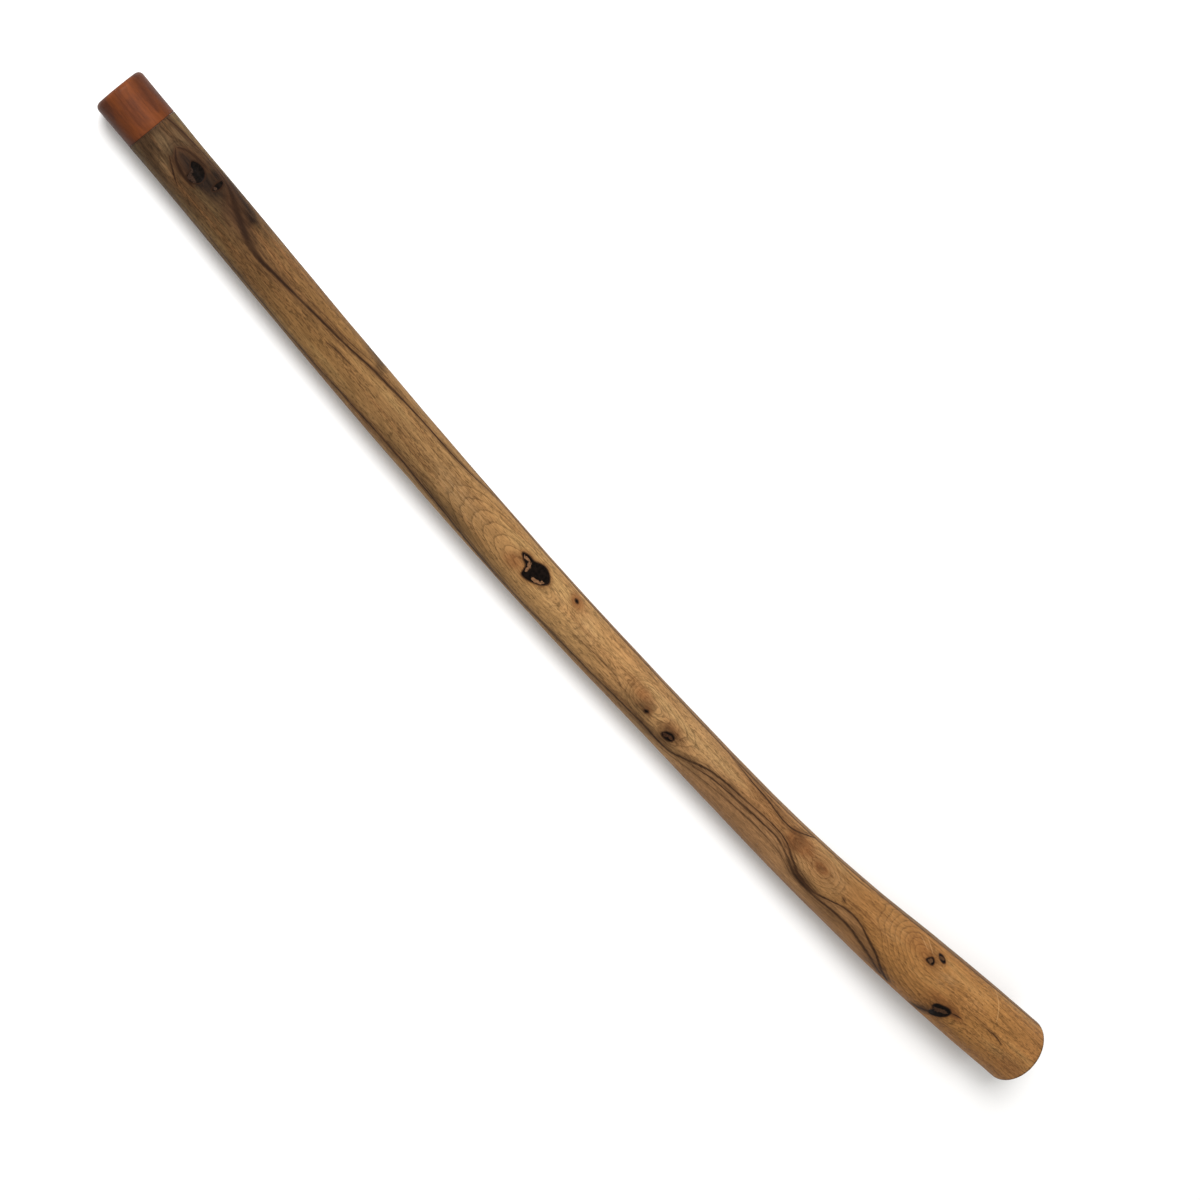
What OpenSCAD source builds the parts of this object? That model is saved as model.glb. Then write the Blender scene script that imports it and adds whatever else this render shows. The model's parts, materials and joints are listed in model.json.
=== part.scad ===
// Didgeridoo: a naturally bent branch, split lengthwise, hollowed and glued back together,
// with a turned hardwood mouthpiece ring and dark resin set flush into its knots.
// It lies on its flat side: +X runs from the mouthpiece to the bell, +Y is the side that the
// bell bends towards, and +Z is up. The origin is under the middle of the bounding box.
// Places along the tube are in mm from the lip. Angles are around the axis, from the top
// towards +Y.

/* [Tube] */
// Length from the lip to the bell along X
instrument_length = 1400; // [1340:5:1480]
// Outer radius of the mouthpiece and of the tube's upper end
mouth_radius = 24.7; // [23.5:0.1:26]
// Outer radius at the bell
bell_radius = 40.6; // [38:0.2:44]
// Sideways offset of the bell from the line of the upper tube
bend_offset = 83.5; // [20:0.5:100]
// Radius of the air column at the mouthpiece
mouth_bore_radius = 15; // [14:0.25:15.5]
// Radius of the air column at the bell
bell_bore_radius = 31.5; // [28:0.5:32]
// Rounding of the bell's two edges
bell_edge_radius = 2.5; // [1:0.5:3]

/* [Mouthpiece] */
// Length of the mouthpiece ring that shows
ring_length = 42.5; // [35:0.5:50]
// Length of the tenon that enters the tube
tenon_length = 8; // [6:0.5:12]
// Radius of the tenon
tenon_radius = 19.5; // [18.5:0.25:20]
// Rounding of the lip's outer edge
lip_outer_radius = 5; // [3:0.5:5.5]
// Rounding of the lip's inner edge
lip_inner_radius = 3.5; // [2:0.5:4]

/* [Glue and resin] */
// Thickness of the glue film around the tenon
film = 0.25; // [0.2:0.05:0.4]
// Thickness of the glue seams between the two halves
seam_thickness = 0.6; // [0.4:0.1:1]
// Depth of the resin in a knot, at its middle
inlay_depth = 5; // [3:0.5:6]

/* [Hidden] */

WOOD = "#b08757";
BACK_WOOD = "#9a7a58";
HARDWOOD = "#8a5338";
RESIN = "#1f1c1b";
GLUE = "#4a2e1d";

// Shape of the tube: [part of the length, part of the change from one end to the other]
BEND = [[0, 0], [0.27, 0], [0.43, 0.065], [0.57, 0.19], [0.715, 0.355], [0.8, 0.51], [0.893, 0.735], [1, 1]];
TAPER = [
    [0.03, 0], [0.14, 0.055], [0.285, 0.115], [0.5, 0.145], [0.605, 0.19], [0.68, 0.285],
    [0.75, 0.43], [0.8, 0.59], [0.845, 0.765], [0.893, 0.9], [0.943, 0.985], [1, 1]
];
BORE = [[0.03, 0], [0.2, 0.08], [0.5, 0.21], [0.7, 0.42], [0.85, 0.72], [1, 1]];
// Angle of the +Y seam: [part of the length, degrees]. The other seam is straight across.
SEAM = [[0.03, 84], [0.3, 84], [0.37, 71], [0.5, 68], [0.6, 63], [0.68, 64], [0.75, 69], [0.9, 71], [1, 77]];

arc_step = 10;
half_steps = 180 / arc_step;
station_spacing = 40;
edge_steps = 4;
round_fn = 96;
curve_steps = 4;
overshoot = 2;

tube_start = ring_length + film;
tenon_end = ring_length + tenon_length;

// Cubic curve through a table of [place, value] rows
function row_slope(table, i) =
    let (last = len(table) - 1, low = max(i - 1, 0), high = min(i + 1, last))
    i == 0 ? 0 : (table[high][1] - table[low][1]) / (table[high][0] - table[low][0]);
function row_before(table, x) = max([0, for (i = [0 : len(table) - 2]) if (table[i][0] <= x) i]);
function curve(table, place) =
    let (
        x = max(place, table[0][0]),
        i = row_before(table, x),
        span = table[i + 1][0] - table[i][0],
        u = (x - table[i][0]) / span,
        start = (2 * u ^ 3 - 3 * u ^ 2 + 1) * table[i][1],
        end = (3 * u ^ 2 - 2 * u ^ 3) * table[i + 1][1],
        start_slope = (u ^ 3 - 2 * u ^ 2 + u) * span * row_slope(table, i),
        end_slope = (u ^ 3 - u ^ 2) * span * row_slope(table, i + 1)
    )
    start + end + start_slope + end_slope;

function axis_y(x) = bend_offset * curve(BEND, x / instrument_length);
function heading(x) = atan((axis_y(x + 1) - axis_y(x - 1)) / 2);
function tube_radius(x) = mouth_radius + (bell_radius - mouth_radius) * curve(TAPER, x / instrument_length);
function bore_radius(x) =
    mouth_bore_radius + (bell_bore_radius - mouth_bore_radius) * curve(BORE, x / instrument_length);
function seam_angle(x) = curve(SEAM, x / instrument_length);

// How far the bell's edge rounding draws the surface in at a place near the end
function edge_drop(x) =
    let (into_edge = max(0, x - (instrument_length - bell_edge_radius)))
    bell_edge_radius - sqrt(bell_edge_radius ^ 2 - into_edge ^ 2);
function outer_radius(x) = tube_radius(x) - edge_drop(x);
function inner_radius(x) = bore_radius(x) + edge_drop(x);

// Places of the cross sections: even steps along the tube, then the edge rounding
stations = let (plain_end = instrument_length - bell_edge_radius, steps = ceil(plain_end / station_spacing))
    concat(
        [for (i = [0 : steps - 1]) tube_start + (plain_end - tube_start) * i / steps],
        [for (i = [0 : edge_steps]) plain_end + bell_edge_radius * sin(90 * i / edge_steps)]
    );

// A point of the cross section at x. The section plane is upright and square to the axis,
// and the axis is one tube radius above the floor, so the underside is flat.
function section_point(x, radius, angle) = [
    x - radius * sin(angle) * sin(heading(x)),
    axis_y(x) + radius * sin(angle) * cos(heading(x)),
    tube_radius(x) + radius * cos(angle)
];
function angles_between(from, to, steps) = [for (k = [0 : steps]) from + (to - from) * k / steps];
function all_but_first(list) = [for (k = [1 : len(list) - 1]) list[k]];
function reversed(list) = [for (k = [len(list) - 1 : -1 : 0]) list[k]];

// Angles of each half's surface, half a seam short of the two seams
function seam_gap(radius) = asin(seam_thickness / 2 / radius);
function front_angles(x, radius) =
    angles_between(seam_angle(x) - 180 + seam_gap(radius), seam_angle(x) - seam_gap(radius), half_steps);
function back_angles(x, radius) =
    let (left_steps = 11)
    concat(
        angles_between(seam_angle(x) + seam_gap(radius), 180, left_steps),
        all_but_first(angles_between(180, seam_angle(x) + 180 - seam_gap(radius), half_steps - left_steps))
    );

function arc_points(x, radius, angles) = [for (angle = angles) section_point(x, radius, angle)];
function front_section(x) = concat(
    arc_points(x, outer_radius(x), front_angles(x, outer_radius(x))),
    reversed(arc_points(x, inner_radius(x), front_angles(x, inner_radius(x))))
);
function back_section(x) = concat(
    arc_points(x, outer_radius(x), back_angles(x, outer_radius(x))),
    reversed(arc_points(x, inner_radius(x), back_angles(x, inner_radius(x))))
);
function seam_section(x, turn) = [
    for (corner = [[outer_radius(x), -1], [outer_radius(x), 1], [inner_radius(x), 1], [inner_radius(x), -1]])
        section_point(x, corner[0], seam_angle(x) + turn + corner[1] * seam_gap(corner[0]))
];

// Triangles over a cross section, laid as a strip between its first and second halves
function cap_faces(size) = [
    for (k = [0 : ceil(size / 2) - 2])
        let (far = size - 1 - k)
            each k + 1 == far - 1 ? [[k, k + 1, far]] : [[k, k + 1, far], [k + 1, far - 1, far]]
];

// Solid through a row of cross sections that have the same number of points
module sweep(sections) {
    size = len(sections[0]);
    last = (len(sections) - 1) * size;
    polyhedron(
        points = [for (section = sections) each section],
        faces = concat(
            cap_faces(size),
            [for (face = cap_faces(size)) [last + face[2], last + face[1], last + face[0]]],
            [for (i = [0 : len(sections) - 2], k = [0 : size - 1])
                let (a = i * size + k, b = i * size + (k + 1) % size)
                    each [[a, a + size, b], [b, a + size, b + size]]]
        )
    );
}

// The lowest and highest of all the outer points along one axis
outer_points = concat(
    [for (x = stations) each arc_points(x, outer_radius(x), front_angles(x, outer_radius(x)))],
    [for (x = stations) each arc_points(x, outer_radius(x), back_angles(x, outer_radius(x)))],
    [[0, 0, 0], [0, -mouth_radius, mouth_radius]]
);
function middle(axis) =
    let (values = [for (point = outer_points) point[axis]])
    (min(values) + max(values)) / 2;
module about_origin() {
    translate([-middle(0), -middle(1), 0]) children();
}

// Knots that are filled with resin: [place, angle, outline of [along, across] from there]
HEART = [563, 10, [
    [-20, 4.5], [-13, 7.5], [-5, 7.5], [3, 11], [10, 12], [17, 9], [21, 3.5],
    [18, -2], [11, -6.5], [2, -10], [-5, -10], [-7, -6], [-9, -1.5], [-15, 1]
]];
NECK_KNOT = [91, 11, [[-9, 4], [-4, 8], [3, 8], [8, 4], [9, -2], [4, -8], [-2, -7.5], [-4, -2]]];
CRESCENT = [111, 31, [[0, -7], [2.5, -4], [3, 1], [1.5, 6], [-1, 7], [-2, 2], [-2, -3]]];
PIN_KNOT = [619, 39, [[-2.2, 0.4], [0.4, 1.6], [2.2, -0.6], [-0.4, -1.6]]];
DOT_KNOT = [755, -16, [[-2.2, -0.6], [0, 1.4], [2.2, 0.8], [0.5, -1.4]]];
EYE_KNOT = [792, -19, [[-7, -2], [-4, 2.5], [2, 4.5], [7, 2.5], [7, -2], [2, -4.5], [-4, -4.5]]];
TRIANGLE_KNOT = [1204, 26, [[-6, -2], [-1, 3], [2, 4], [5.5, 0.5], [4, -3.5], [-3, -3.5]]];
OVAL_KNOT = [1218, 43, [[-5.5, 2.5], [-1, 4], [4, 1.5], [5.5, -2.5], [1, -4], [-4, -1.5]]];
BELL_KNOT = [1258, -33, [
    [-12, 1], [-11, 6], [-4, 9], [4, 11], [10, 9], [11, 3], [8, -5], [0, -12], [-6, -9], [-7, -3]
]];
INLAYS = [HEART, NECK_KNOT, CRESCENT, PIN_KNOT, DOT_KNOT, EYE_KNOT, TRIANGLE_KNOT, OVAL_KNOT, BELL_KNOT];

// Closed smooth curve through the points of an outline
function curve_point(a, b, c, d, u) =
    b + (c - a) * u / 2 + (2 * a - 5 * b + 4 * c - d) * u ^ 2 / 2 + (3 * b - a - 3 * c + d) * u ^ 3 / 2;
function smooth_loop(outline) =
    let (count = len(outline))
    [for (i = [0 : count - 1], k = [0 : curve_steps - 1])
        curve_point(outline[i], outline[(i + 1) % count], outline[(i + 2) % count],
            outline[(i + 3) % count], k / curve_steps)];

module at_surface(x, angle) {
    translate(section_point(x, tube_radius(x), angle))
        rotate([-angle, 0, heading(x)])
            children();
}

// Straight-sided hollow of a knot, from its floor out through the surface
module knot_hollow(knot) {
    at_surface(knot[0], knot[1])
        translate([0, 0, -inlay_depth])
            linear_extrude(inlay_depth + overshoot)
                polygon(smooth_loop(knot[2]));
}

// The front half's outer surface as a solid, for the stretch on either side of x
module front_surface(x) {
    reach = 2 * station_spacing;
    sweep([for (place = stations) if (abs(place - x) < reach)
        arc_points(place, outer_radius(place), front_angles(place, outer_radius(place)))]);
}

module inlay(knot) {
    color(RESIN) about_origin() intersection() {
        knot_hollow(knot);
        front_surface(knot[0]);
    }
}

// Hollow at the tube's end that the tenon and its glue fill
module tenon_socket() {
    translate([tube_start - overshoot, 0, mouth_radius])
        rotate([0, 90, 0])
            cylinder(r = tenon_radius + film, h = tenon_end + film - tube_start + overshoot, $fn = round_fn);
}

module front_shell() {
    color(WOOD) about_origin() difference() {
        sweep([for (x = stations) front_section(x)]);
        tenon_socket();
        for (knot = INLAYS) knot_hollow(knot);
    }
}

module back_shell() {
    color(BACK_WOOD) about_origin() difference() {
        sweep([for (x = stations) back_section(x)]);
        tenon_socket();
    }
}

module seam_glue(turn) {
    color(GLUE) about_origin() difference() {
        sweep([for (x = stations) seam_section(x, turn)]);
        tenon_socket();
    }
}
module left_seam_glue() { seam_glue(0); }
module right_seam_glue() { seam_glue(180); }

// Profiles of turned parts are [radius, place along the axis]
function arc(middle_point, radius, from, to) =
    let (steps = 8)
    [for (angle = angles_between(from, to, steps)) middle_point + radius * [cos(angle), sin(angle)]];
module turned(profile) {
    about_origin() translate([0, 0, mouth_radius]) rotate([0, 90, 0])
        rotate_extrude($fn = round_fn) polygon(profile);
}

module mouthpiece_ring() {
    color(HARDWOOD) turned(concat(
        arc([mouth_bore_radius + lip_inner_radius, lip_inner_radius], lip_inner_radius, 180, 270),
        arc([mouth_radius - lip_outer_radius, lip_outer_radius], lip_outer_radius, 270, 360),
        [[mouth_radius, ring_length], [tenon_radius, ring_length]],
        [[tenon_radius, tenon_end], [mouth_bore_radius, tenon_end]]
    ));
}

module mouthpiece_glue() {
    recess = 0.15;
    color(GLUE) turned([
        [mouth_radius - recess, ring_length], [mouth_radius - recess, tube_start],
        [tenon_radius + film, tube_start], [tenon_radius + film, tenon_end + film],
        [mouth_bore_radius, tenon_end + film], [mouth_bore_radius, tenon_end],
        [tenon_radius, tenon_end], [tenon_radius, ring_length]
    ]);
}

module heart_inlay() { inlay(HEART); }
module neck_knot_inlay() { inlay(NECK_KNOT); }
module crescent_inlay() { inlay(CRESCENT); }
module pin_knot_inlay() { inlay(PIN_KNOT); }
module dot_knot_inlay() { inlay(DOT_KNOT); }
module eye_knot_inlay() { inlay(EYE_KNOT); }
module triangle_knot_inlay() { inlay(TRIANGLE_KNOT); }
module oval_knot_inlay() { inlay(OVAL_KNOT); }
module bell_knot_inlay() { inlay(BELL_KNOT); }

mouthpiece_ring();
mouthpiece_glue();
front_shell();
back_shell();
left_seam_glue();
right_seam_glue();
heart_inlay();
neck_knot_inlay();
crescent_inlay();
pin_knot_inlay();
dot_knot_inlay();
eye_knot_inlay();
triangle_knot_inlay();
oval_knot_inlay();
bell_knot_inlay();
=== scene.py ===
"""Looks of the didgeridoo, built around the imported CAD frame.

Lengths are in mm unless a name says otherwise. A "place" is a distance along the tube from the lip,
an "angle" goes around the tube's axis in degrees, from the top towards +Y, and a "radius" is measured
from the axis. "Along" and "across" are distances on the surface.
"""

import json
import math

import bmesh
import bpy
import numpy as np
from mathutils import Matrix, Vector


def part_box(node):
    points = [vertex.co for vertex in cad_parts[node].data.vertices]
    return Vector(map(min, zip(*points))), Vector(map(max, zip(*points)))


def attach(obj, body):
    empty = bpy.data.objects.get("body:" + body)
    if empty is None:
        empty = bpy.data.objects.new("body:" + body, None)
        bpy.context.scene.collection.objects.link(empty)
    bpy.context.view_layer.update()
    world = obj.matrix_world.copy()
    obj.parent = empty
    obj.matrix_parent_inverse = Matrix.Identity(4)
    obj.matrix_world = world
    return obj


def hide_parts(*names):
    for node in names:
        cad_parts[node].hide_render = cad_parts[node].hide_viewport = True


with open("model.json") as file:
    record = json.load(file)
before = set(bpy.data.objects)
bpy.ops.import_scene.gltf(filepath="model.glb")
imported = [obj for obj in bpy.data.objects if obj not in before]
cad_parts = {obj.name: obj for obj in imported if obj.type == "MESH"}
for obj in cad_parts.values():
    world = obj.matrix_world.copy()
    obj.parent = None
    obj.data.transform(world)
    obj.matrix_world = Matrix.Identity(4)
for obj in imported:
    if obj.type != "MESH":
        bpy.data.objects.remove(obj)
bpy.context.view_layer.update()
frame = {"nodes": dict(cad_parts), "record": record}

MM = 0.001

# ---------------------------------------------------------------- shape values

SKIN = 0.12  # the visual surface lies this far inside the CAD one
SEAM_HALF = 0.3  # half the thickness of a glue seam
SEAM_RECESS = 0.25  # how far the glue has sunk below the wood
BELL_EDGE = 2.5  # rounding of the bell's edges
LIP_OUTER = 5.0  # rounding of the lip's outer edge
LIP_INNER = 3.5  # rounding of the lip's inner edge
ROW_STEP = 1.6  # between the cross sections of the wood
SEAM_ROW_STEP = 4  # between the cross sections of the seam glue
BELL_EDGE_STEPS = 8
OUTER_STEPS = 72  # faces around the outside of one half
STEPS_PER_INNER_STEP = 3  # outside faces for each face in the bore
GOUGE_HEIGHT = 0.35  # tool marks in the bore
INLAY_DEPTH = 5.0  # of the resin, where its surface is first looked for
CUTTER_HEIGHT = 11  # of a knot's cutter, above the knot's floor
KNOT_REACH = 45  # wood further off than this is not measured against a knot's rim
FAR = 30.0  # stands for any distance too large to matter
WOBBLES = [  # uneven surface: height, wavelength along the tube, waves around it, phase
    (0.09, 310, 1, 0.4),
    (0.07, 173, -2, 2.1),
    (0.05, 97, 3, 4.0),
    (0.03, 61, -1, 1.3),
    (0.02, 37, 4, 5.2),
]

# ------------------------------------------------------------- surface features

# Where branches grew out: place, angle, reach towards the mouth, towards the bell and across, number of
# rings, how clear the rings are on the bell side, and how far they are drawn towards the bell below
SWIRLS = [
    (82, 10, 26, 24, 17, 4, 0.8, 0),
    (116, 36, 20, 22, 14, 3, 0.8, 0),
    (572, 0, 152, 105, 34, 10, 0.25, 0),
    (619, 40, 14, 14, 10, 3, 0.8, 0),
    (746, 3, 34, 92, 24, 7.5, 1.0, 0),
    (792, -19, 14, 14, 11, 3, 0.8, 0),
    (990, 24, 22, 26, 15, 3, 0.8, 0),
    (1028, 19, 38, 42, 23, 6, 0.9, 0),
    (1194, 24, 86, 900, 60, 11, 0.55, 0.9),
    (1260, -33, 26, 40, 18, 3, 0.8, 0),
]

# Grain parting around a knot: place, angle, half-width, reach along
PARTINGS = [
    (88, 10, 9, 32),
    (114, 34, 6, 26),
    (566, 4, 11, 46),
    (619, 40, 4, 15),
    (745, 2, 8, 34),
    (792, -19, 8, 24),
    (992, 23, 6, 26),
    (1028, 19, 9, 34),
    (1210, 32, 11, 42),
    (1258, -33, 11, 38),
]

# Dark veins, as points of place, angle and half-width. No two veins of one row come near each other.
# The points were read off the photograph. About half of them then went through a scratch script that
# turned the readings into places and angles, and stand here nearly as it printed them.
VEINS = [
    [
        [
            (42, 40, 0.9), (55, 48, 0.8), (67, 54, 0.9), (91, 60, 1.0), (105, 59, 1.3), (118, 50, 2.0),
            (126, 41, 3.6), (134, 31, 4.4), (144, 20, 4.4), (156, 9, 4.0), (166, 3, 3.5), (180, 0, 2.9),
            (200, 4, 2.2), (250, 15, 1.7), (285, 23, 1.5), (317, 34, 1.5), (340, 39, 1.5), (378, 46, 1.4),
            (435, 50, 1.2), (455, 54, 1.1), (480, 65, 0.8), (500, 76, 0.5),
        ],
        [(862, 61, 0.4), (894, 51, 0.9), (928, 45, 1.2), (955, 36, 1.3), (974, 38, 1.3), (996, 56, 1.0),
         (1008, 68, 0.4)],
        [(66, 12, 0.5), (72, 0, 1.7), (81, -8, 2.1), (92, -11, 1.8), (100, -10, 0.6)],
        [(1070, 5, 0.4), (1073, 4, 1.1), (1076, 3, 0.4)],
        [(1258, -24, 0.6), (1264, -22, 2.2), (1272, -18, 1.4), (1282, -15, 0.4)],
        [(1318, -1, 0.3), (1328, 0, 0.6), (1345, -4, 0.3)],
    ],
    [
        [(68, -8, 0.4), (76, -18, 1.1), (84, -28, 1.1), (91, -35, 0.4)],
        [
            (140, -60, 0.6), (209, -65, 0.9), (279, -62, 1.0), (323, -54, 1.2), (360, -50, 1.3),
            (397, -48, 1.4),
            (435, -52, 1.5), (455, -54, 1.5), (495, -61, 1.5), (536, -67, 1.5), (577, -66, 1.4),
            (638, -56, 1.3), (680, -54, 1.4), (713, -50, 1.4), (745, -47, 1.6), (766, -45, 1.9),
            (785, -47, 2.0), (800, -46, 1.9), (811, -41, 1.9), (821, -31, 1.9), (834, -19, 1.9),
            (848, -8, 1.8),
            (871, 1, 1.4), (900, 5, 1.0), (929, 10, 0.9), (953, 12, 0.9), (965, 11, 1.0), (976, 6, 1.2),
            (988, -4, 1.7), (1008, -20, 2.2), (1027, -27, 2.1), (1045, -26, 1.5), (1062, -16, 1.1),
            (1079, -7, 1.0), (1091, -5, 1.0), (1110, -9, 1.1), (1129, -20, 1.4), (1151, -33, 1.9),
            (1175, -52, 2.4), (1195, -66, 1.8),
        ],
        [(1234, -70, 0.6), (1244, -62, 3.0), (1250, -52, 3.6), (1257, -42, 2.4)],
    ],
    [
        [(66, 16, 0.5), (72, 27, 1.9), (80, 34, 2.5), (90, 37, 2.2), (98, 37, 0.7)],
        [(272, -4, 0.3), (282, 1, 0.8), (300, 4, 0.3)],
        [(837, -26, 0.5), (860, -14, 1.1), (883, -9, 1.2), (906, -5, 1.3), (941, -2, 1.3), (964, -2, 1.3),
         (976, -7, 1.4), (989, -15, 1.8), (1009, -27, 2.0), (1046, -33, 1.8), (1075, -28, 1.6),
         (1100, -28, 1.7), (1126, -36, 1.9), (1155, -49, 1.9), (1180, -62, 1.4)],
    ],
    [
        [(225, 20, 0.3), (250, 28, 0.8), (286, 33, 0.8), (310, 44, 0.3)],
        [(800, -58, 0.4), (850, -34, 0.8), (900, -20, 0.9), (950, -16, 0.9), (985, -22, 0.8),
        (1006, -34, 0.4)],
        [(838, 63, 0.3), (885, 62, 0.7), (930, 54, 0.8), (964, 51, 0.8), (990, 58, 0.7), (1006, 70, 0.3)],
        [(640, -18, 0.3), (660, -13, 0.6), (690, -10, 0.7), (704, -11, 0.6), (716, -18, 0.3)],
        [(1040, 62, 0.3), (1075, 58, 0.8), (1120, 66, 0.3)],
    ],
]
LONG_VEIN = VEINS[1][1]
# Heartwood shows below the long vein. It fades in and out between these places.
HEARTWOOD_START = (800, 850)
HEARTWOOD_END = (1150, 1230)

# Pale scratches and rays: points of place, angle and half-width
SCRATCHES = [
    [(1181, 54, 0.4), (1188, 46, 0.9), (1195, 38, 0.4)],
    [(1189, 66, 0.5), (1196, 52, 1.0), (1203, 39, 0.5)],
    [(1309, 72, 0.6), (1312, 58, 1.1), (1316, 40, 1.0), (1320, 20, 0.5)],
]

# Soft patches of colour: place, angle, reach along and across, strength
RED_PATCHES = [
    (541, -9, 12, 8, 0.8), (550, 8, 14, 12, 0.4), (619, 40, 9, 8, 1.0), (628, 33, 12, 9, 0.4),
    (728, 8, 18, 9, 0.5), (744, 0, 14, 9, 0.7), (756, -12, 6, 4, 0.8), (792, -19, 16, 13, 0.5),
    (790, -2, 16, 8, 0.5), (815, -14, 12, 8, 0.3), (984, 22, 14, 13, 1.0), (1000, 30, 12, 11, 0.7),
    (1028, 19, 11, 5, 1.0),
    (1028, 19, 30, 15, 0.35), (1180, 36, 22, 12, 0.5), (1205, 30, 18, 14, 0.4), (1240, -26, 18, 11, 0.5),
    (1274, -19, 13, 5, 0.9), (1254, -12, 26, 7, 0.6), (1380, -22, 26, 10, 0.6),
    (480, 12, 60, 15, 0.2), (660, 20, 50, 13, 0.2), (940, 30, 60, 15, 0.3), (1110, 20, 50, 20, 0.25),
]
DARK_PATCHES = [
    (83, 11, 20, 12, 1.0), (122, 54, 32, 11, 1.0), (138, 32, 17, 9, 0.95), (154, 18, 11, 6, 0.5),
    (106, 24, 16, 10, 0.5), (143, 44, 10, 9, 0.5), (120, -2, 34, 8, 0.5), (52, -8, 16, 9, 0.3),
    (55, 54, 26, 7, 0.3), (160, 58, 20, 8, 0.3), (114, 34, 10, 8, 0.6), (322, 50, 7, 10, 0.5),
    (312, 74, 16, 9, 0.6),
    # painted shade: the long, thin patches on this line darken the -Y flank, away from the light
    (438, -40, 70, 7, 0.4), (500, -50, 60, 8, 0.35), (600, -64, 100, 9, 0.3), (730, -58, 70, 9, 0.35),
    (793, -21, 14, 9, 0.6), (770, -42, 36, 7, 0.45), (752, -8, 11, 8, 0.5), (828, -28, 18, 7, 0.35),
    (738, -24, 24, 8, 0.35), (797, -4, 15, 6, 0.25), (780, -10, 8, 5, 0.2),
    (987, 26, 9, 11, 0.35), (1020, -26, 22, 8, 0.55), (1028, 19, 5, 3, 0.4), (1060, -42, 50, 8, 0.2),
    (1110, -32, 54, 10, 0.2), (1170, -56, 30, 9, 0.4), (1255, -34, 18, 13, 0.4), (1246, -60, 11, 9, 0.7),
    (1208, 33, 13, 11, 0.2), (205, -74, 100, 10, 0.3), (50, -52, 16, 13, 0.3),
]
PALE_PATCHES = [
    (57, -2, 10, 7, 0.5), (73, -26, 12, 5, 0.5), (64, 34, 14, 5, 0.3),
    (444, 3, 24, 9, 0.6), (472, -2, 32, 12, 0.4), (600, 8, 15, 12, 0.25), (648, 4, 18, 9, 0.5),
    (640, 30, 12, 8, 0.4), (770, 20, 40, 10, 0.4), (860, 25, 50, 15, 0.3), (1050, 24, 20, 15, 0.5),
    (1140, 28, 28, 15, 0.4), (1230, 24, 22, 12, 0.6), (1280, 34, 26, 17, 0.25),
]


# ----------------------------------------------------------------- small maths


def between(x, xs, ys):
    """Value at x of a smooth curve through the points (xs, ys)."""
    slopes = np.gradient(ys, xs)
    i = np.clip(np.searchsorted(xs, x) - 1, 0, len(xs) - 2)
    span = xs[i + 1] - xs[i]
    u = (x - xs[i]) / span
    start = (2 * u**3 - 3 * u**2 + 1) * ys[i] + (u**3 - 2 * u**2 + u) * span * slopes[i]
    end = (3 * u**2 - 2 * u**3) * ys[i + 1] + (u**3 - u**2) * span * slopes[i + 1]
    return start + end


def smooth_step(x, low, high):
    u = np.clip((x - low) / (high - low), 0, 1)
    return u * u * (3 - 2 * u)


def cad_points(node):
    """The vertices of a CAD node, in mm."""
    mesh = frame["nodes"][node].data
    flat = np.empty(len(mesh.vertices) * 3)
    mesh.vertices.foreach_get("co", flat)
    return flat.reshape(-1, 3) / MM


# ------------------------------------------------------- the tube, from the CAD


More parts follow.
